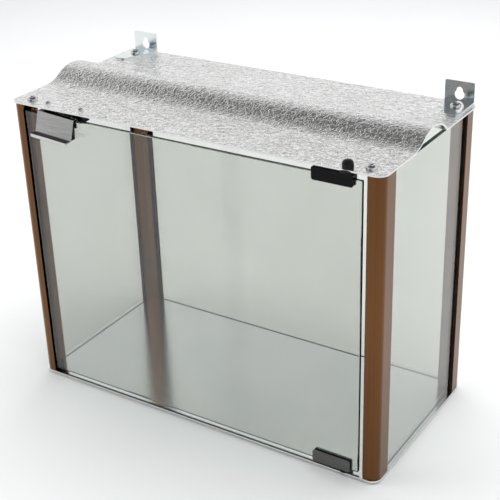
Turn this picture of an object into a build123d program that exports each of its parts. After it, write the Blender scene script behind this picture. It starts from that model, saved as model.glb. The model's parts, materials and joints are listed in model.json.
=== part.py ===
"""Wall-hung glass display case: embossed aluminium roof with a vent arch, bronze corner posts
and a frameless glass door that swings on two pivot clips.

Frame: X to the right, Y into the wall, Z up, millimetres. The origin is midway between the
round mouths of the two wall keyholes, on the wall plane."""
import os

from build123d import *

os.makedirs("parts", exist_ok=True)

# ---- driving dimensions ----
case_w = 400.0
case_d = 195.0
case_h = 304.0
plate_t = 1.5
plate_corner_r = 10.0
post_inset = 1.5
skin_t = 1.5
glass_t = 4.0
glass_inset = 4.1
fixed_glass_h = 298.0
keyhole_rise = 7.0

half_w = case_w / 2
front_y = -case_d
wall_y = 0.0
top_z = -keyhole_rise
base_z = top_z - case_h
floor_z = base_z + plate_t
ceiling_z = top_z - plate_t
post_h = ceiling_z - floor_z

# roof arch, measured from the front edge of the case
arch_rise = 12.5
arch_foot_front = 52.0
arch_crest = 95.0
arch_foot_rear = 126.0
arch_r = 40.0

# posts, as insets from the case's side (u) and from its front or rear (v)
post_corner_r = plate_corner_r - post_inset
post_lip_u = 15.0
post_skin_v = 25.0
groove_back_v = 8.5
web_end_v = 10.0
channel_in = post_inset + skin_t
channel_out = glass_inset + glass_t + 1.1
flange_t = 1.4
flange_end_v = 24.5
rear_skin = 21.0
rear_box_u = 20.5
rear_box_v = 21.5
front_port = (18.0, 13.2)
rear_port = (15.9, 16.9)
port_r = 3.3
port_bore_r = 1.9

# rubber glazing channels
gasket_web = 1.1
front_gasket_proud = 2.5
rear_gasket_proud = 1.0

# screws
screw_hole_r = 2.2
screw_len = 16.0
pan_r = 5.0
pan_h = 3.0
low_pan_h = 2.2
catch_screw_r = 1.3

# brackets
bracket_inset = 19.0
bracket_w = 29.0
bracket_t = 1.5
bracket_rise = 20.0
bracket_leg = 40.0
bracket_shoulder = 4.0
bracket_taper = 16.0
keyhole_r = 4.8
keyslot_w = 6.0
keyslot_top = 7.5

# door
door_t = 4.0
door_front = 2.5
door_left = 17.0
door_right = 21.0
door_low = 4.5
door_high = 295.5
pivot_inset = 35.0
pin_r = 2.5
pin_clear = 0.05
bush_r = 4.0

clip_w = 39.0
clip_h = 12.2
clip_past_pivot = 6.5
clip_wall = 1.6
clip_corner_r = 2.0
pad_t = 0.5
clamp_screw_r = 2.0
clamp_spacing = 26.0
clamp_head_r = 3.3
clamp_head_h = 2.4
top_flange_t = 1.2
low_flange_t = 0.5
bush_flange_r = 7.0
cap_r = 5.0
cap_h = 7.5
cap_bore_h = 5.5

pivot_x = half_w - pivot_inset
pivot_y = front_y + door_front + door_t / 2
clip_top_z = ceiling_z - top_flange_t - 0.3
clip_low_z = floor_z + low_flange_t + 0.4
door_low_z = base_z + door_low
door_high_z = base_z + door_high

# handle clip and magnetic catch
handle_left = 35.0
handle_drop = 4.2
handle_w = 43.0
handle_h = 20.5
handle_sheet = 1.0
handle_tilt = 4.0
handle_hook = 9.5
liner_top = 0.2
handle_ledge = 8.0
handle_rim = 2.2
catch_left = 34.0
catch_w = 48.0
catch_d = 11.0
catch_h = 11.0
catch_front_v = 9.2
catch_screw_spacing = 40.4
catch_screw_v = 12.4
catch_screw_len = 9.0

# rubber stop
bumper_u = 17.3
bumper_w = 5.7
bumper_v = 6.9
bumper_d = 2.8
bumper_h = 12.5


def save(piece, name):
    piece.label = name
    export_step(piece, f"parts/{name}.step")


def corner(side, end, u, v):
    """Plan position of a point u in from the case's side and v in from its front or rear."""
    x = side * (half_w - u)
    y = front_y + v if end == "front" else wall_y - v
    return (x, y)


def inset_box(side, end, u0, u1, v0, v1, mode=Mode.ADD):
    """Rectangle in the open sketch, given by its insets from one corner of the case."""
    x, y = corner(side, end, (u0 + u1) / 2, (v0 + v1) / 2)
    with Locations((x, y)):
        Rectangle(u1 - u0, v1 - v0, mode=mode)


def skin(side, end, u_end, v_end):
    """L-shaped outer skin of a post, with its rounded outer corner, in the open sketch."""
    inner = post_inset + skin_t
    inner_r = post_corner_r - skin_t
    bend = post_inset + post_corner_r
    slant = 0.5 ** 0.5
    outer_mid = bend - post_corner_r * slant
    inner_mid = bend - inner_r * slant
    with BuildLine() as outline:
        Line(corner(side, end, u_end, post_inset), corner(side, end, bend, post_inset))
        ThreePointArc(
            corner(side, end, bend, post_inset),
            corner(side, end, outer_mid, outer_mid),
            corner(side, end, post_inset, bend),
        )
        Polyline(
            corner(side, end, post_inset, bend),
            corner(side, end, post_inset, v_end),
            corner(side, end, inner, v_end),
            corner(side, end, inner, bend),
        )
        ThreePointArc(
            corner(side, end, inner, bend),
            corner(side, end, inner_mid, inner_mid),
            corner(side, end, bend, inner),
        )
        Polyline(
            corner(side, end, bend, inner),
            corner(side, end, u_end, inner),
            corner(side, end, u_end, post_inset),
        )
    make_face(outline.edges())


def port_at(side, end):
    """Plan position of a post's screw port."""
    u, v = front_port if end == "front" else rear_port
    return corner(side, end, u, v)


def screw_port(side, end):
    """Round screw port of a post in the open sketch, with its bore."""
    with Locations(port_at(side, end)):
        Circle(port_r)
        Circle(port_bore_r, mode=Mode.SUBTRACT)


def front_post(side, name):
    """Front corner post: skin, door-side groove, side-glass channel and screw port."""
    port_u, port_v = front_port
    with BuildPart() as post:
        with BuildSketch(Plane.XY.offset(floor_z)):
            skin(side, "front", post_lip_u, post_skin_v)
            inset_box(side, "front", channel_in - 0.2, post_lip_u, groove_back_v, web_end_v)
            inset_box(side, "front", channel_out, channel_out + flange_t, groove_back_v, flange_end_v)
            inset_box(side, "front", channel_out, port_u, port_v - 0.7, port_v + 0.7)
            inset_box(side, "front", port_u - 3, port_u - 1, groove_back_v, port_v)
            screw_port(side, "front")
        extrude(amount=post_h)
    save(post.part, name)


def rear_post(side, name):
    """Rear corner post: two glass channels round a square hollow that holds the screw port."""
    wall_in = channel_out + flange_t
    with BuildPart() as post:
        with BuildSketch(Plane.XY.offset(floor_z)):
            skin(side, "rear", rear_skin, rear_skin)
            inset_box(side, "rear", channel_out, rear_box_u, channel_out, rear_box_v)
            inset_box(
                side, "rear", wall_in, rear_box_u - flange_t, wall_in, rear_box_v - flange_t,
                mode=Mode.SUBTRACT,
            )
            inset_box(side, "rear", channel_in - 0.2, channel_out + 0.2, channel_out, wall_in)
            inset_box(side, "rear", channel_out, wall_in, channel_in - 0.2, channel_out + 0.2)
            screw_port(side, "rear")
        extrude(amount=post_h)
        inner_edge = post.edges().filter_by(Axis.Z).sort_by_distance(
            Vector(*corner(side, "rear", rear_box_u, rear_box_v), 0)
        )[0]
        fillet(inner_edge, 0.8)
    save(post.part, name)


def gasket_strip(side, end, along_side):
    """U-shaped rubber strip on one vertical edge of a fixed pane, in the open sketch."""
    start = web_end_v if end == "front" else channel_out + flange_t
    lip = post_skin_v + front_gasket_proud if end == "front" else rear_box_v + rear_gasket_proud
    g0 = glass_inset
    g1 = glass_inset + glass_t
    if along_side:
        inset_box(side, end, channel_in, channel_out, start, lip)
        inset_box(side, end, g0, g1, start + gasket_web, lip, mode=Mode.SUBTRACT)
    else:
        inset_box(side, end, start, lip, channel_in, channel_out)
        inset_box(side, end, start + gasket_web, lip, g0, g1, mode=Mode.SUBTRACT)


def plate_outline():
    """Rounded plan outline of the roof and floor plates, in the open sketch."""
    with Locations((0, front_y + case_d / 2)):
        RectangleRounded(case_w, case_d, plate_corner_r)


def port_points():
    return [port_at(side, end) for side in (-1, 1) for end in ("front", "rear")]


def catch_points():
    middle = -half_w + catch_left + catch_w / 2
    return [(middle + way * catch_screw_spacing / 2, front_y + catch_screw_v) for way in (-1, 1)]


# ---- roof plate: one pressed sheet with the vent arch across its whole width ----
front_drop = arch_crest - arch_foot_front
rear_drop = arch_foot_rear - arch_crest
front_fillet_r = (front_drop ** 2 / arch_rise + arch_rise) / 2 - arch_r
rear_fillet_r = (rear_drop ** 2 / arch_rise + arch_rise) / 2 - arch_r


def arch_surface(drop):
    """Roof outline, front to rear, of the sheet's surface that lies drop below its top."""
    foot_z = top_z - drop
    crest_r = arch_r - drop
    blend_f = front_fillet_r + drop
    blend_r = rear_fillet_r + drop
    y_front = front_y + arch_foot_front
    y_crest = front_y + arch_crest
    y_rear = front_y + arch_foot_rear
    hub_z = top_z + arch_rise - arch_r
    hub_f_z = foot_z + blend_f
    hub_r_z = foot_z + blend_r
    reach_f = arch_r + front_fillet_r
    reach_r = arch_r + rear_fillet_r
    meet_f = (
        y_crest - front_drop * crest_r / reach_f,
        hub_z + (hub_f_z - hub_z) * crest_r / reach_f,
    )
    meet_r = (
        y_crest + rear_drop * crest_r / reach_r,
        hub_z + (hub_r_z - hub_z) * crest_r / reach_r,
    )
    a_f = arc_middle((y_front, hub_f_z), blend_f, (y_front, foot_z), meet_f)
    a_r = arc_middle((y_rear, hub_r_z), blend_r, meet_r, (y_rear, foot_z))
    return foot_z, (y_front, foot_z), a_f, meet_f, (y_crest, hub_z + crest_r), meet_r, a_r, (y_rear, foot_z)


def arc_middle(hub, radius, start, end):
    """Middle point of the short arc from start to end about hub."""
    middle = Vector((start[0] + end[0]) / 2 - hub[0], (start[1] + end[1]) / 2 - hub[1])
    middle = middle.normalized() * radius
    return (hub[0] + middle.X, hub[1] + middle.Y)


with BuildPart() as top_plate:
    with BuildSketch(Plane(origin=(-half_w, 0, 0), x_dir=(0, 1, 0), z_dir=(1, 0, 0))):
        with BuildLine():
            z_up, u1, u2, u3, u4, u5, u6, u7 = arch_surface(0)
            z_low, d1, d2, d3, d4, d5, d6, d7 = arch_surface(plate_t)
            Line((front_y, z_up), u1)
            ThreePointArc(u1, u2, u3)
            ThreePointArc(u3, u4, u5)
            ThreePointArc(u5, u6, u7)
            Polyline(u7, (wall_y, z_up), (wall_y, z_low), d7)
            ThreePointArc(d7, d6, d5)
            ThreePointArc(d5, d4, d3)
            ThreePointArc(d3, d2, d1)
            Polyline(d1, (front_y, z_low), (front_y, z_up))
        make_face()
    extrude(amount=case_w)
    with BuildSketch(Plane.XY.offset(ceiling_z - 5)):
        plate_outline()
    extrude(amount=40, mode=Mode.INTERSECT)
    with BuildSketch(Plane.XY.offset(ceiling_z - 5)):
        with Locations(*port_points()):
            Circle(screw_hole_r)
        with Locations(*catch_points()):
            Circle(catch_screw_r + 0.2)
        with Locations((pivot_x, pivot_y)):
            Circle(bush_r)
    extrude(amount=20, mode=Mode.SUBTRACT)
save(top_plate.part, "top_plate")

# ---- floor plate ----
with BuildPart() as bottom_plate:
    with BuildSketch(Plane.XY.offset(base_z)):
        plate_outline()
        with Locations(*port_points()):
            Circle(screw_hole_r, mode=Mode.SUBTRACT)
        with Locations((pivot_x, pivot_y)):
            Circle(bush_r, mode=Mode.SUBTRACT)
    extrude(amount=plate_t)
save(bottom_plate.part, "bottom_plate")

# ---- posts ----
front_post(-1, "front_left_post")
front_post(1, "front_right_post")
rear_post(-1, "rear_left_post")
rear_post(1, "rear_right_post")

# ---- fixed panes ----
side_pane_v0 = web_end_v + gasket_web
side_pane_v1 = case_d - channel_out - flange_t - gasket_web
for side, name in ((-1, "left_glass"), (1, "right_glass")):
    with BuildPart() as pane:
        with BuildSketch(Plane.XY.offset(floor_z)):
            inset_box(side, "front", glass_inset, glass_inset + glass_t, side_pane_v0, side_pane_v1)
        extrude(amount=fixed_glass_h)
    save(pane.part, name)

back_pane_w = case_w - 2 * (channel_out + flange_t + gasket_web)
with BuildPart() as back_glass:
    with BuildSketch(Plane.XY.offset(floor_z)):
        with Locations((0, wall_y - glass_inset - glass_t / 2)):
            Rectangle(back_pane_w, glass_t)
    extrude(amount=fixed_glass_h)
save(back_glass.part, "back_glass")

# ---- rubber glazing channels ----
for side, name in ((-1, "left_glass_gaskets"), (1, "right_glass_gaskets")):
    with BuildPart() as gaskets:
        with BuildSketch(Plane.XY.offset(floor_z)):
            gasket_strip(side, "front", True)
            gasket_strip(side, "rear", True)
        extrude(amount=fixed_glass_h)
    save(gaskets.part, name)

with BuildPart() as back_glass_gaskets:
    with BuildSketch(Plane.XY.offset(floor_z)):
        gasket_strip(-1, "rear", False)
        gasket_strip(1, "rear", False)
    extrude(amount=fixed_glass_h)
save(back_glass_gaskets.part, "back_glass_gaskets")

# ---- wall brackets ----
for side, name in ((-1, "wall_bracket_left"), (1, "wall_bracket_right")):
    tab_x = side * (half_w - bracket_inset)
    with BuildPart() as bracket:
        with BuildSketch(Plane.XY.offset(top_z)):
            with BuildLine():
                inner = tab_x - side * bracket_w / 2
                outer = tab_x + side * bracket_w / 2
                Polyline(
                    (inner, wall_y),
                    (inner, wall_y - bracket_shoulder),
                    (inner + side * bracket_taper, wall_y - bracket_leg),
                    (outer, wall_y - bracket_leg),
                    (outer, wall_y),
                    close=True,
                )
            make_face()
            with Locations(port_at(side, "rear")):
                Circle(screw_hole_r, mode=Mode.SUBTRACT)
        extrude(amount=bracket_t)
        leg_front = bracket.edges().filter_by(Axis.Z).group_by(Axis.Y)[0:2]
        fillet([edge for group in leg_front for edge in group], 4)
        with BuildSketch(Plane.XZ):
            with Locations((tab_x, top_z + bracket_rise / 2)):
                Rectangle(bracket_w, bracket_rise)
            with Locations((tab_x, 0)):
                Circle(keyhole_r, mode=Mode.SUBTRACT)
            with Locations((tab_x, keyslot_top / 2 - keyslot_w / 4)):
                Rectangle(keyslot_w, keyslot_top - keyslot_w / 2, mode=Mode.SUBTRACT)
            with Locations((tab_x, keyslot_top - keyslot_w / 2)):
                Circle(keyslot_w / 2, mode=Mode.SUBTRACT)
        extrude(amount=bracket_t)
        fillet(bracket.edges().filter_by(Axis.Y).group_by(Axis.Z)[-1], 1.5)
        heel = bracket.edges().filter_by(Axis.X).filter_by_position(Axis.Y, -0.01, 0.01)
        fillet(heel.group_by(Axis.Z)[0], 1.2)
    save(bracket.part, name)


def screw_set(name, seats, up, head_r, head_h, shank_r, shank_len):
    """Cross-recess pan-head screws in one node: seats are (x, y, z) under each head."""
    with BuildPart() as screws:
        for seat in seats:
            seat_plane = Plane(origin=seat, x_dir=(1, 0, 0), z_dir=(0, 0, up))
            profile = Plane(origin=seat, x_dir=(1, 0, 0), z_dir=(0, -up, 0))
            with BuildSketch(profile):
                with BuildLine():
                    Polyline((0, head_h), (0, -shank_len), (shank_r * 0.4, -shank_len))
                    Polyline(
                        (shank_r * 0.4, -shank_len),
                        (shank_r, -shank_len + 2),
                        (shank_r, 0),
                        (head_r, 0),
                        (head_r, head_h * 0.3),
                    )
                    ThreePointArc(
                        (head_r, head_h * 0.3),
                        (head_r * 0.78, head_h * 0.8),
                        (head_r * 0.3, head_h),
                    )
                    Line((head_r * 0.3, head_h), (0, head_h))
                make_face()
            revolve(axis=Axis(seat, (0, 0, 1)))
            with BuildSketch(seat_plane.offset(head_h * 0.45)):
                Rectangle(head_r * 0.95, head_r * 0.2)
                Rectangle(head_r * 0.2, head_r * 0.95)
            extrude(amount=head_h, mode=Mode.SUBTRACT)
    save(screws.part, name)


# ---- corner screws into the posts' ports, and the catch's screws ----
top_seats = [
    (*port_at(side, end), top_z + (bracket_t if end == "rear" else 0))
    for side in (-1, 1)
    for end in ("front", "rear")
]
bottom_seats = [(x, y, base_z) for x, y in port_points()]
screw_set("top_corner_screws", top_seats, 1, pan_r, pan_h, port_bore_r, screw_len)
screw_set("bottom_corner_screws", bottom_seats, -1, pan_r, low_pan_h, port_bore_r, screw_len)
catch_seats = [(x, y, top_z) for x, y in catch_points()]
screw_set("catch_screws", catch_seats, 1, 2.6, 1.4, catch_screw_r, catch_screw_len)

# ---- door pane ----
door_w = case_w - door_left - door_right
door_x = (door_left - door_right) / 2
with BuildPart() as door_glass:
    with BuildSketch(Plane.XY.offset(door_low_z)):
        with Locations((door_x, pivot_y)):
            Rectangle(door_w, door_t)
    extrude(amount=door_high - door_low)
    chamfer(door_glass.edges(), 0.4)
save(door_glass.part, "door_glass")


def hinge_clip(name, low_z, web_low, web_high):
    """Clamp that grips a corner of the door: two rounded cheeks joined past the glass edge."""
    slot_low = web_high if web_low < low_z + 1 else low_z - 1
    slot_high = low_z + clip_h + 1 if web_low < low_z + 1 else web_low
    with BuildPart() as clip:
        with BuildSketch(Plane.XZ.offset(-cheek_rear)):
            with Locations((clip_x, low_z + clip_h / 2)):
                RectangleRounded(clip_w, clip_h, clip_corner_r)
        extrude(amount=cheek_rear - cheek_front)
        with BuildSketch(Plane.XZ.offset(-cheek_rear + clip_wall)):
            with Locations((clip_x, (slot_low + slot_high) / 2)):
                Rectangle(clip_w + 2, slot_high - slot_low)
        extrude(amount=cheek_rear - cheek_front - 2 * clip_wall, mode=Mode.SUBTRACT)
        with BuildSketch(Plane.XY.offset(web_low)):
            with Locations((pivot_x, pivot_y)):
                Circle(pin_r)
        extrude(amount=web_high - web_low, mode=Mode.SUBTRACT)
        with BuildSketch(Plane.XZ.offset(-cheek_rear + clip_wall)):
            with Locations(*clamp_points(low_z)):
                Circle(clamp_screw_r)
        extrude(amount=-clip_wall, mode=Mode.SUBTRACT)
        chamfer(clip.faces().sort_by(Axis.Y)[0].outer_wire().edges(), 0.4)
    save(clip.part, name)


def clamp_points(low_z):
    """Places of a clip's two clamp screws, as (x, z)."""
    grip_z = low_z + clip_h / 2
    return [(clip_x + way * clamp_spacing / 2, grip_z) for way in (-1, 1)]


# ---- hinge clips: the upper one's web lies over the glass, the lower one's web under it ----
clip_x = pivot_x + clip_past_pivot - clip_w / 2
cheek_front = pivot_y - door_t / 2 - pad_t - clip_wall
cheek_rear = pivot_y + door_t / 2 + pad_t + clip_wall
top_clip_z = clip_top_z - clip_h
hinge_clip("hinge_top_clip", top_clip_z, door_high_z + 0.3, clip_top_z)
hinge_clip("hinge_bottom_clip", clip_low_z, clip_low_z, door_low_z - 0.3)

with BuildPart() as hinge_pads:
    for low, high in (
        (top_clip_z + 0.5, door_high_z - 0.5),
        (door_low_z + 0.5, clip_low_z + clip_h - 0.5),
    ):
        for pad_y in (cheek_front + clip_wall + pad_t, cheek_rear - clip_wall):
            with BuildSketch(Plane.XZ.offset(-pad_y)):
                with Locations((clip_x, (low + high) / 2)):
                    Rectangle(clip_w - 2, high - low)
            extrude(amount=pad_t)
save(hinge_pads.part, "hinge_clip_pads")

with BuildPart() as clamp_screws:
    for low in (top_clip_z, clip_low_z):
        with BuildSketch(Plane.XZ.offset(-cheek_rear + clip_wall)):
            with Locations(*clamp_points(low)):
                Circle(clamp_screw_r)
        extrude(amount=-clip_wall)
        with BuildSketch(Plane.XZ.offset(-cheek_rear)):
            with Locations(*clamp_points(low)):
                Circle(clamp_head_r)
        extrude(amount=-clamp_head_h)
    crowns = clamp_screws.faces().sort_by(Axis.Y)[-4:]
    fillet([edge for crown in crowns for edge in crown.edges()], clamp_head_h * 0.6)
save(clamp_screws.part, "hinge_clamp_screws")


def pivot_pin(name, low, high):
    """Plain steel pivot pin with a lead-in at both ends."""
    with BuildPart() as pin:
        with BuildSketch(Plane.XY.offset(low)):
            with Locations((pivot_x, pivot_y)):
                Circle(pin_r)
        extrude(amount=high - low)
        chamfer(pin.edges().filter_by(GeomType.CIRCLE), 0.4)
    save(pin.part, name)


pivot_pin("hinge_top_pin", door_high_z + 0.3, top_z + 4.5)
pivot_pin("hinge_bottom_pin", base_z + 0.2, door_low_z - 0.3)

# ---- bushes pressed into the plates, and the cap over the upper pin ----
with BuildPart() as hinge_top_bush:
    with BuildSketch(Plane.XY.offset(ceiling_z - top_flange_t)):
        with Locations((pivot_x, pivot_y)):
            Circle(bush_flange_r)
    extrude(amount=top_flange_t)
    with BuildSketch(Plane.XY.offset(ceiling_z)):
        with Locations((pivot_x, pivot_y)):
            Circle(bush_r)
    extrude(amount=plate_t)
    with BuildSketch(Plane.XY.offset(ceiling_z - top_flange_t)):
        with Locations((pivot_x, pivot_y)):
            Circle(pin_r + pin_clear)
    extrude(amount=top_flange_t + plate_t, mode=Mode.SUBTRACT)
save(hinge_top_bush.part, "hinge_top_bush")

with BuildPart() as hinge_bottom_bush:
    with BuildSketch(Plane.XY.offset(base_z)):
        with Locations((pivot_x, pivot_y)):
            Circle(bush_r)
    extrude(amount=plate_t)
    with BuildSketch(Plane.XY.offset(floor_z)):
        with Locations((pivot_x, pivot_y)):
            Circle(bush_r + 1.5)
    extrude(amount=low_flange_t)
    with BuildSketch(Plane.XY.offset(base_z)):
        with Locations((pivot_x, pivot_y)):
            Circle(pin_r + pin_clear)
    extrude(amount=plate_t + low_flange_t, mode=Mode.SUBTRACT)
save(hinge_bottom_bush.part, "hinge_bottom_bush")

with BuildPart() as hinge_cap:
    with BuildSketch(Plane.XY.offset(top_z)):
        with Locations((pivot_x, pivot_y)):
            Circle(cap_r)
    extrude(amount=cap_h)
    fillet(hinge_cap.faces().sort_by(Axis.Z)[-1].edges(), cap_r * 0.8)
    with BuildSketch(Plane.XY.offset(top_z)):
        with Locations((pivot_x, pivot_y)):
            Circle(pin_r + 0.4)
    extrude(amount=cap_bore_h, mode=Mode.SUBTRACT)
save(hinge_cap.part, "hinge_cap")

# ---- handle clip: bent sheet hooked over the door's top edge, sitting slightly askew ----
tilt = Plane(
    origin=(-half_w + handle_left, 0, top_z - handle_drop),
    x_dir=(0, 1, 0),
    z_dir=Vector(1, 0, 0).rotate(Axis.Y, handle_tilt),
)
glass_front_y = front_y + door_front
glass_rear_y = glass_front_y + door_t
liner_t = 0.8
sheet_rear_y = glass_rear_y + liner_t
nose_y = glass_front_y - 1.2
toe_y = glass_front_y - 6.0
rim_y = toe_y - handle_ledge
slope = (nose_y - toe_y) / (handle_h - handle_sheet)

with BuildPart() as handle_clip:
    with BuildSketch(tilt):
        with BuildLine():
            Polyline(
                (sheet_rear_y, -handle_sheet),
                (nose_y, -handle_sheet),
                (toe_y, -handle_h),
                (rim_y + handle_sheet, -handle_h),
                (rim_y + handle_sheet, -handle_h - handle_rim),
                (rim_y, -handle_h - handle_rim),
                (rim_y, -handle_h + handle_sheet),
                (toe_y - handle_sheet, -handle_h + handle_sheet),
                (nose_y - handle_sheet, 0),
                (sheet_rear_y + handle_sheet, 0),
                (sheet_rear_y + handle_sheet, -handle_hook),
                (sheet_rear_y, -handle_hook),
                close=True,
            )
        make_face()
    extrude(amount=handle_w)
save(handle_clip.part, "handle_clip")

with BuildPart() as handle_clip_liner:
    with BuildSketch(tilt):
        with BuildLine():
            Polyline(
                (sheet_rear_y, -handle_sheet),
                (sheet_rear_y, -handle_hook),
                (glass_rear_y, -handle_hook),
                (glass_rear_y, -handle_sheet - liner_top),
                (glass_front_y, -handle_sheet - liner_top),
                (glass_front_y, -handle_h + 1),
                (toe_y + slope, -handle_h + 1),
                (nose_y, -handle_sheet),
                close=True,
            )
        make_face()
    extrude(amount=handle_w)
save(handle_clip_liner.part, "handle_clip_liner")

# ---- magnetic catch under the roof, behind the handle clip ----
catch_x = -half_w + catch_left + catch_w / 2
catch_y = front_y + catch_front_v + catch_d / 2
catch_mid_z = ceiling_z - catch_h / 2
pocket_w = 30.0
pocket_depth = 8.0
magnet_h = 4.0
pole_t = 1.2
pole_proud = 0.3
pocket_h = magnet_h + 2 * pole_t

with BuildPart() as catch_housing:
    with BuildSketch(Plane.XY.offset(ceiling_z - catch_h)):
        with Locations((catch_x, catch_y)):
            RectangleRounded(catch_w, catch_d, 1.5)
    extrude(amount=catch_h)
    fillet(catch_housing.faces().sort_by(Axis.Z)[0].edges(), 0.8)
    with BuildSketch(Plane.XZ.offset(-front_y - catch_front_v)):
        with Locations((catch_x, catch_mid_z)):
            Rectangle(pocket_w, pocket_h)
    extrude(amount=-pocket_depth, mode=Mode.SUBTRACT)
    with BuildSketch(Plane.XY.offset(ceiling_z)):
        with Locations(*catch_points()):
            Circle(catch_screw_r)
    extrude(amount=plate_t - catch_screw_len, mode=Mode.SUBTRACT)
save(catch_housing.part, "catch_housing")

with BuildPart() as catch_magnet:
    with BuildSketch(Plane.XZ.offset(-front_y - catch_front_v)):
        with Locations((catch_x, catch_mid_z)):
            Rectangle(pocket_w - 2, magnet_h)
    extrude(amount=-pocket_depth)
save(catch_magnet.part, "catch_magnet")

with BuildPart() as catch_pole_plates:
    with BuildSketch(Plane.XZ.offset(-front_y - catch_front_v + pole_proud)):
        for pole_z in (catch_mid_z - (magnet_h + pole_t) / 2, catch_mid_z + (magnet_h + pole_t) / 2):
            with Locations((catch_x, pole_z)):
                Rectangle(pocket_w - 1, pole_t)
    extrude(amount=-pocket_depth - pole_proud)
save(catch_pole_plates.part, "catch_pole_plates")

# ---- rubber stop at the foot of the left post, just behind the closed door ----
with BuildPart() as door_bumper:
    with BuildSketch(Plane.XY.offset(floor_z)):
        inset_box(-1, "front", bumper_u, bumper_u + bumper_w, bumper_v, bumper_v + bumper_d)
    extrude(amount=bumper_h)
    fillet(door_bumper.edges().filter_by(Axis.Z), 0.8)
    fillet(door_bumper.faces().sort_by(Axis.Z)[-1].edges(), 0.6)
save(door_bumper.part, "door_bumper")
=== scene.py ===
"""Looks for the wall-hung glass case: materials, floor, light and camera.
Everything is in metres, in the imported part's own frame: X right, Y into the wall, Z up."""
import json
import math

import bpy
from mathutils import Matrix, Vector


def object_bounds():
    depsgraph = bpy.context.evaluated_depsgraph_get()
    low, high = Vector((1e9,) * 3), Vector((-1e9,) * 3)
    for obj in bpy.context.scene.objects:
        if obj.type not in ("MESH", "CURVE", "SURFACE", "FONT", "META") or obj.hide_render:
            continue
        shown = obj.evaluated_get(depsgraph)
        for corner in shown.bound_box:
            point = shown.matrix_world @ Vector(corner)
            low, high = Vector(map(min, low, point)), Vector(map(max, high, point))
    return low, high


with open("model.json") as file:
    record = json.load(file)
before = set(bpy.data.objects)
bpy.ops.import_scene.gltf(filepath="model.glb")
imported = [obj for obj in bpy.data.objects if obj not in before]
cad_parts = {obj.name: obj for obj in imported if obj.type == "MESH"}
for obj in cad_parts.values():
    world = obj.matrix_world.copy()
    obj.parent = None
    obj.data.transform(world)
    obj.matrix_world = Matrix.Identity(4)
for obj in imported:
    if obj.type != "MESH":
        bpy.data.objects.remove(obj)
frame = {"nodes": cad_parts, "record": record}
cad_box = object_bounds()
nodes = frame["nodes"]

# ---- camera: the photograph's viewing angle ----
CAMERA_PLACE = (0.5628, -0.9484, 0.3489)
CAMERA_AZIMUTH = 33.15
CAMERA_ELEVATION = 26.63
CAMERA_ROLL = -1.91
CAMERA_LENS = 81.97

# ---- studio light ----
# A fade is the span of a direction's Z (ceiling) or Y (front) over which the bright walls give way.
CEILING_LIGHT = 0.14
CEILING_FADE = (0.52, 0.82)
FRONT_LIGHT = 0.14
FRONT_FADE = (-0.9, -0.68)
SKY_TINT = (0.97, 0.985, 1.0, 1)
OVERHEAD = {"place": (0.1, 0.35, 1.7), "target": (0, -0.05, -0.1), "size": (2.6, 2.0), "power": 46}
LEFT_FILL = {"place": (-1.8, -1.2, 0.9), "target": (0, -0.1, -0.15), "size": (1.2, 1.4), "power": 9}
FLOOR_REACH = 14.0


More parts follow.
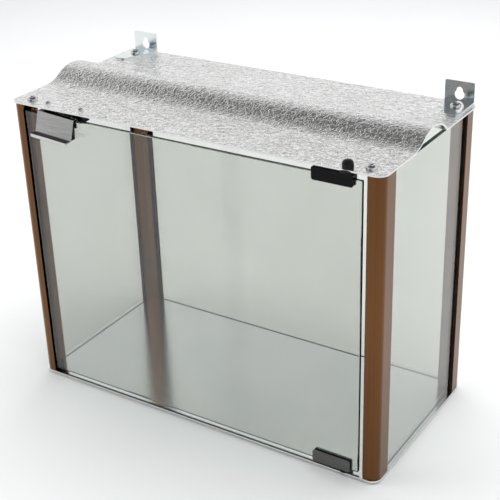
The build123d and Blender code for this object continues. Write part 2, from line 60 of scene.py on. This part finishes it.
# ---------------------------------------------------------------- materials
class Shader:
    """A material with short helpers for building its node tree."""

    def __init__(self, name, **values):
        self.material = bpy.data.materials.new(name)
        self.material.use_nodes = True
        self.tree = self.material.node_tree
        self.tree.nodes.clear()
        self.output = self.node("ShaderNodeOutputMaterial")
        self.body = self.node("ShaderNodeBsdfPrincipled")
        self.link(self.body.outputs[0], self.output.inputs[0])
        self.coords = self.node("ShaderNodeTexCoord")
        for socket, value in values.items():
            self.body.inputs[socket.replace("_", " ")].default_value = value

    def node(self, kind, **settings):
        made = self.tree.nodes.new(kind)
        for key, value in settings.items():
            setattr(made, key, value)
        return made

    def link(self, out, into):
        self.tree.links.new(out, into)

    def stretch(self, scale):
        """Object coordinates, scaled along each axis."""
        mapping = self.node("ShaderNodeMapping")
        mapping.inputs["Scale"].default_value = scale
        self.link(self.coords.outputs["Object"], mapping.inputs["Vector"])
        return mapping.outputs[0]

    def noise(self, scale, detail=3.0, roughness=0.55, distortion=0.0, stretch=(1, 1, 1)):
        made = self.node("ShaderNodeTexNoise")
        made.inputs["Scale"].default_value = scale
        made.inputs["Detail"].default_value = detail
        made.inputs["Roughness"].default_value = roughness
        made.inputs["Distortion"].default_value = distortion
        self.link(self.stretch(stretch), made.inputs["Vector"])
        return made.outputs[0]

    def spread(self, value, low, high, from_low=0.3, from_high=0.7):
        """Value mapped from one range to another."""
        made = self.node("ShaderNodeMapRange")
        made.inputs[1].default_value = from_low
        made.inputs[2].default_value = from_high
        made.inputs[3].default_value = low
        made.inputs[4].default_value = high
        self.link(value, made.inputs[0])
        return made.outputs[0]

    def maths(self, operation, a, b=None):
        made = self.node("ShaderNodeMath", operation=operation)
        for place, value in enumerate((a, b)):
            if value is None:
                continue
            if isinstance(value, (int, float)):
                made.inputs[place].default_value = value
            else:
                self.link(value, made.inputs[place])
        return made.outputs[0]

    def colours(self, factor, *stops):
        """Colour ramp over factor: stops are (place, colour)."""
        ramp = self.node("ShaderNodeValToRGB")
        ramp.color_ramp.elements[0].position = stops[0][0]
        ramp.color_ramp.elements[0].color = (*stops[0][1], 1)
        ramp.color_ramp.elements[1].position = stops[-1][0]
        ramp.color_ramp.elements[1].color = (*stops[-1][1], 1)
        for place, colour in stops[1:-1]:
            ramp.color_ramp.elements.new(place).color = (*colour, 1)
        self.link(factor, ramp.inputs[0])
        return ramp.outputs[0]

    def mix_colour(self, factor, a, b):
        made = self.node("ShaderNodeMix", data_type="RGBA")
        self.link(factor, made.inputs["Factor"])
        for place, value in ((6, a), (7, b)):
            if isinstance(value, tuple):
                made.inputs[place].default_value = (*value, 1)
            else:
                self.link(value, made.inputs[place])
        return made.outputs[2]

    def bump(self, height, distance, strength=1.0, after=None):
        made = self.node("ShaderNodeBump")
        made.inputs["Strength"].default_value = strength
        made.inputs["Distance"].default_value = distance
        self.link(height, made.inputs["Height"])
        if after is not None:
            self.link(after, made.inputs["Normal"])
        return made.outputs[0]

    def drive(self, socket, value):
        self.link(value, self.body.inputs[socket])

    def facing(self, axis):
        """How much the object-space normal lies along an axis, 0 to 1."""
        split = self.node("ShaderNodeSeparateXYZ")
        self.link(self.coords.outputs["Normal"], split.inputs[0])
        return self.maths("ABSOLUTE", split.outputs["XYZ".index(axis)])


def embossed_aluminium():
    """Mill aluminium with an irregular stucco emboss and a bright sheared edge."""
    s = Shader("embossed_aluminium", Metallic=1.0)
    cells = s.noise(230, 2.0, 0.5, 1.4)
    fine = s.noise(620, 2.0, 0.5, 0.6)
    patches = s.noise(9, 3.0)
    sheared = s.maths("LESS_THAN", s.facing("Z"), 0.5)
    height = s.maths("ADD", s.spread(cells, 0, 1), s.maths("MULTIPLY", fine, 0.35))
    height = s.maths("MULTIPLY", height, s.maths("SUBTRACT", 1.0, sheared))
    s.drive("Normal", s.bump(height, 0.00042))
    # Colour tracks the emboss cell height: low cells painted darker as shade in the hollows, high cells
    # lighter.
    painted_hollow_shade = s.colours(s.spread(cells, 0, 1), (0.1, (0.80, 0.785, 0.760)), (0.9, (0.96, 0.952, 0.940)))
    tone = s.colours(patches, (0.3, (0.93, 0.925, 0.92)), (0.7, (1, 1, 1)))
    blend = s.node("ShaderNodeMix", data_type="RGBA", blend_type="MULTIPLY")
    blend.inputs["Factor"].default_value = 1.0
    s.link(painted_hollow_shade, blend.inputs[6])
    s.link(tone, blend.inputs[7])
    s.drive("Base Color", s.mix_colour(sheared, blend.outputs[2], (0.70, 0.70, 0.70)))
    rough = s.spread(fine, 0.16, 0.28)
    s.drive("Roughness", s.maths("SUBTRACT", rough, s.maths("MULTIPLY", sheared, 0.1)))
    return s.material


def satin_aluminium():
    """Smooth sheet with faint rolling lines and a soft sheen."""
    s = Shader("satin_aluminium", Metallic=1.0)
    lines = s.noise(60, 4.0, 0.6, 0, (0.35, 14, 14))
    clouds = s.noise(14, 3.0)
    s.drive("Base Color", s.colours(clouds, (0.3, (0.90, 0.915, 0.92)), (0.7, (0.95, 0.96, 0.965))))
    s.drive("Roughness", s.spread(lines, 0.13, 0.20))
    s.drive("Normal", s.bump(lines, 0.000003, 0.4))
    return s.material


def bronze_anodised():
    """Brown anodised extrusion: die lines along its length under a sealed, slightly glossy film."""
    s = Shader("bronze_anodised", Metallic=1.0, Coat_Weight=0.2, Coat_Roughness=0.16)
    die_lines = s.noise(900, 3.0, 0.6, 0, (1, 1, 0.004))
    clouds = s.noise(22, 3.0, 0.5, 0, (1, 1, 0.25))
    dark = s.colours(clouds, (0.3, (0.105, 0.042, 0.011)), (0.7, (0.145, 0.060, 0.018)))
    s.drive("Base Color", s.mix_colour(s.spread(die_lines, 0, 0.35), dark, (0.190, 0.088, 0.034)))
    s.drive("Roughness", s.spread(die_lines, 0.18, 0.28))
    s.drive("Normal", s.bump(die_lines, 0.00003, 0.5))
    return s.material


def clear_glass(name, axis):
    """Float glass pane whose faces lie across an axis: faintly grey-green, with dark green edges."""
    s = Shader(name, Transmission_Weight=1.0, IOR=1.5, Roughness=0.0, Specular_IOR_Level=0.3)
    smear = s.noise(7, 4.0, 0.6, 0.8)
    s.drive("Base Color", s.colours(smear, (0.3, (0.675, 0.692, 0.662)), (0.7, (0.712, 0.727, 0.698))))
    on_rim = s.maths("LESS_THAN", s.facing(axis), 0.5)
    rim = s.node("ShaderNodeBsdfPrincipled")
    rim.inputs["Roughness"].default_value = 0.2
    s.link(
        s.colours(s.noise(40, 2.0), (0.3, (0.004, 0.020, 0.015)), (0.7, (0.012, 0.048, 0.037))),
        rim.inputs["Base Color"],
    )
    pane = s.node("ShaderNodeMixShader")
    s.link(on_rim, pane.inputs[0])
    s.link(s.body.outputs[0], pane.inputs[1])
    s.link(rim.outputs[0], pane.inputs[2])
    clear = s.node("ShaderNodeBsdfTransparent")
    face_tint = (0.88, 0.91, 0.89)
    rim_tint = (0.25, 0.32, 0.29)
    s.link(s.mix_colour(on_rim, face_tint, rim_tint), clear.inputs["Color"])
    rays = s.node("ShaderNodeLightPath")
    soft = s.maths("MAXIMUM", rays.outputs["Is Shadow Ray"], rays.outputs["Is Diffuse Ray"])
    whole = s.node("ShaderNodeMixShader")
    s.link(soft, whole.inputs[0])
    s.link(pane.outputs[0], whole.inputs[1])
    s.link(clear.outputs[0], whole.inputs[2])
    s.link(whole.outputs[0], s.output.inputs[0])
    return s.material


def black_rubber():
    s = Shader("black_rubber", Specular_IOR_Level=0.2)
    grain = s.noise(1400, 3.0)
    patches = s.noise(60, 3.0)
    s.drive("Base Color", s.colours(patches, (0.3, (0.005, 0.005, 0.005)), (0.7, (0.012, 0.012, 0.011))))
    s.drive("Roughness", s.spread(grain, 0.45, 0.65))
    s.drive("Normal", s.bump(grain, 0.00003, 0.5))
    return s.material


def zinc_steel():
    """Blue-passivated zinc plating: soft spangle with a cool and straw-coloured drift."""
    s = Shader("zinc_steel", Metallic=1.0)
    drift = s.noise(45, 3.0, 0.55, 0.8)
    spangle = s.noise(420, 2.0, 0.5, 0.4)
    cool = (0.60, 0.74, 0.80)
    plain = (0.78, 0.82, 0.83)
    straw = (0.84, 0.84, 0.78)
    film = s.colours(drift, (0.30, cool), (0.5, plain), (0.72, straw))
    s.drive("Base Color", film)
    s.drive("Roughness", s.spread(spangle, 0.10, 0.20))
    s.drive("Normal", s.bump(spangle, 0.00002, 0.5))
    return s.material


def bright_metal(name, low, high, rough_low, rough_high):
    """Plated or polished steel with fine wear."""
    s = Shader(name, Metallic=1.0)
    wear = s.noise(260, 4.0, 0.6, 0.3)
    s.drive("Base Color", s.colours(s.noise(90, 3.0), (0.3, low), (0.7, high)))
    s.drive("Roughness", s.spread(wear, rough_low, rough_high))
    s.drive("Normal", s.bump(wear, 0.00001, 0.4))
    return s.material


def polished_sheet():
    """Hairlined bright sheet whose level faces are painted near-black and non-metallic as painted shade.
    """
    s = Shader("polished_steel")
    hairlines = s.noise(240, 4.0, 0.6, 0.2, (0.1, 3, 3))
    fine = s.noise(900, 2.0)
    # Faces lying flat (hook top, ledge top) are painted near-black and lose their metal: painted shade,
    # not a lacquer.
    painted_shade_level_faces = s.maths("GREATER_THAN", s.facing("Z"), 0.9)
    bright = s.colours(hairlines, (0.3, (0.50, 0.50, 0.485)), (0.7, (0.66, 0.655, 0.635)))
    s.drive("Base Color", s.mix_colour(painted_shade_level_faces, bright, (0.004, 0.004, 0.004)))
    s.drive("Metallic", s.maths("SUBTRACT", 1.0, painted_shade_level_faces))
    s.drive("Roughness", s.spread(fine, 0.10, 0.22))
    s.drive("Normal", s.bump(hairlines, 0.00001, 0.4))
    return s.material


def coated_metal(name, low, high, rough_low, rough_high, coat, shine):
    """Dark lacquered metal: brushed lines under a thin coat."""
    s = Shader(name, Coat_Weight=coat, Coat_Roughness=0.12, Specular_IOR_Level=shine)
    brushing = s.noise(300, 4.0, 0.65, 0, (0.12, 3, 3))
    peel = s.noise(700, 2.0)
    s.drive("Base Color", s.colours(brushing, (0.3, low), (0.7, high)))
    s.drive("Roughness", s.spread(peel, rough_low, rough_high))
    s.drive("Normal", s.bump(peel, 0.00002, 0.4, s.bump(brushing, 0.00002, 0.4)))
    return s.material


def moulded_plastic(name, low, high):
    s = Shader(name, Specular_IOR_Level=0.2)
    grain = s.noise(1600, 2.0)
    s.drive("Base Color", s.colours(s.noise(50, 3.0), (0.3, low), (0.7, high)))
    s.drive("Roughness", s.spread(grain, 0.34, 0.50))
    s.drive("Normal", s.bump(grain, 0.00002, 0.5))
    return s.material


def ferrite():
    s = Shader("ferrite", Metallic=0.2)
    grain = s.noise(900, 4.0)
    s.drive("Base Color", s.colours(grain, (0.3, (0.03, 0.03, 0.032)), (0.7, (0.07, 0.07, 0.072))))
    s.drive("Roughness", s.spread(grain, 0.5, 0.7))
    return s.material


SLOT_MATERIALS = {
    "embossed_aluminium": embossed_aluminium(),
    "satin_aluminium": satin_aluminium(),
    "bronze_anodised": bronze_anodised(),
    "black_rubber": black_rubber(),
    "zinc_steel": zinc_steel(),
    "chrome_screw": bright_metal("chrome_screw", (0.50, 0.50, 0.51), (0.70, 0.70, 0.70), 0.06, 0.14),
    # Upper clip: near-black with its reflection turned down, painted shade of the roof over the same
    # finish as the lower clip.
    "black_clip": coated_metal(
        "black_clip", (0.001, 0.001, 0.001), (0.003, 0.003, 0.003), 0.10, 0.18, 0.0, 0.12
    ),
    # Lower clip: the same black finish made grey, painted light falling from above.
    "grey_clip": coated_metal(
        "grey_clip", (0.085, 0.083, 0.078), (0.11, 0.108, 0.102), 0.34, 0.46, 0.1, 0.3
    ),
    "pin_steel": bright_metal("pin_steel", (0.50, 0.50, 0.51), (0.62, 0.62, 0.62), 0.22, 0.36),
    "black_plastic": moulded_plastic("black_plastic", (0.003, 0.003, 0.003), (0.008, 0.008, 0.008)),
    "ferrite": ferrite(),
    "polished_steel": polished_sheet(),
}
GLASS_AXIS = {"left_glass": "X", "right_glass": "X", "back_glass": "Y", "door_glass": "Y"}

for part in frame["record"]["subparts"]:
    node = nodes[part["node"]]
    if part["node"] in GLASS_AXIS:
        finish = clear_glass(part["node"], GLASS_AXIS[part["node"]])
    else:
        finish = SLOT_MATERIALS[part["material_slot"]]
    node.data.materials.clear()
    node.data.materials.append(finish)

# ---------------------------------------------------------------- stage
floor_z = cad_box[0][2]


def floor():
    mesh = bpy.data.meshes.new("floor")
    corners = [(-1, -1), (1, -1), (1, 1), (-1, 1)]
    mesh.from_pydata([(x * FLOOR_REACH, y * FLOOR_REACH, floor_z) for x, y in corners], [], [(0, 1, 2, 3)])
    made = bpy.data.objects.new("floor", mesh)
    bpy.context.scene.collection.objects.link(made)
    s = Shader("floor_paper", Roughness=0.9)
    s.drive("Base Color", s.colours(s.noise(3, 2.0), (0.3, (0.90, 0.90, 0.90)), (0.7, (0.92, 0.92, 0.92))))
    made.data.materials.append(s.material)


def softbox(name, place, target, size, power):
    """A soft rectangular light that points at a target and is not seen in reflections."""
    light = bpy.data.lights.new(name, "AREA")
    light.shape = "RECTANGLE"
    light.size = size[0]
    light.size_y = size[1]
    light.energy = power
    made = bpy.data.objects.new(name, light)
    made.visible_glossy = False
    made.location = place
    made.rotation_euler = (Vector(target) - Vector(place)).to_track_quat("-Z", "Y").to_euler()
    bpy.context.scene.collection.objects.link(made)


floor()
softbox("overhead", **OVERHEAD)
softbox("left_fill", **LEFT_FILL)


def studio():
    """Bright walls and a bright low backdrop, with a dimmer ceiling and a dim far front."""
    world = bpy.data.worlds.new("studio")
    bpy.context.scene.world = world
    world.use_nodes = True
    tree = world.node_tree
    coords = tree.nodes.new("ShaderNodeTexCoord")
    split = tree.nodes.new("ShaderNodeSeparateXYZ")
    tree.links.new(coords.outputs["Generated"], split.inputs[0])

    def ramp(value, *stops):
        made = tree.nodes.new("ShaderNodeMapRange")
        made.interpolation_type = "SMOOTHSTEP"
        for place, number in enumerate(stops):
            made.inputs[place + 1].default_value = number
        tree.links.new(value, made.inputs[0])
        return made.outputs[0]

    def times(a, b):
        made = tree.nodes.new("ShaderNodeMath")
        made.operation = "MULTIPLY"
        tree.links.new(a, made.inputs[0])
        tree.links.new(b, made.inputs[1])
        return made.outputs[0]

    height = ramp(split.outputs["Z"], *CEILING_FADE, 1.0, CEILING_LIGHT)
    front = ramp(split.outputs["Y"], *FRONT_FADE, FRONT_LIGHT, 1.0)
    background = tree.nodes["Background"]
    background.inputs["Color"].default_value = SKY_TINT
    tree.links.new(times(height, front), background.inputs["Strength"])


studio()
bpy.context.scene.view_settings.view_transform = "Standard"

camera = bpy.data.objects.new("camera", bpy.data.cameras.new("camera"))
camera.data.lens = CAMERA_LENS
camera.data.sensor_width = 36
camera.location = CAMERA_PLACE
camera.rotation_euler = (
    Matrix.Rotation(math.radians(CAMERA_AZIMUTH), 3, "Z")
    @ Matrix.Rotation(math.radians(90 - CAMERA_ELEVATION), 3, "X")
    @ Matrix.Rotation(math.radians(CAMERA_ROLL), 3, "Z")
).to_euler()
bpy.context.scene.collection.objects.link(camera)
bpy.context.scene.camera = camera
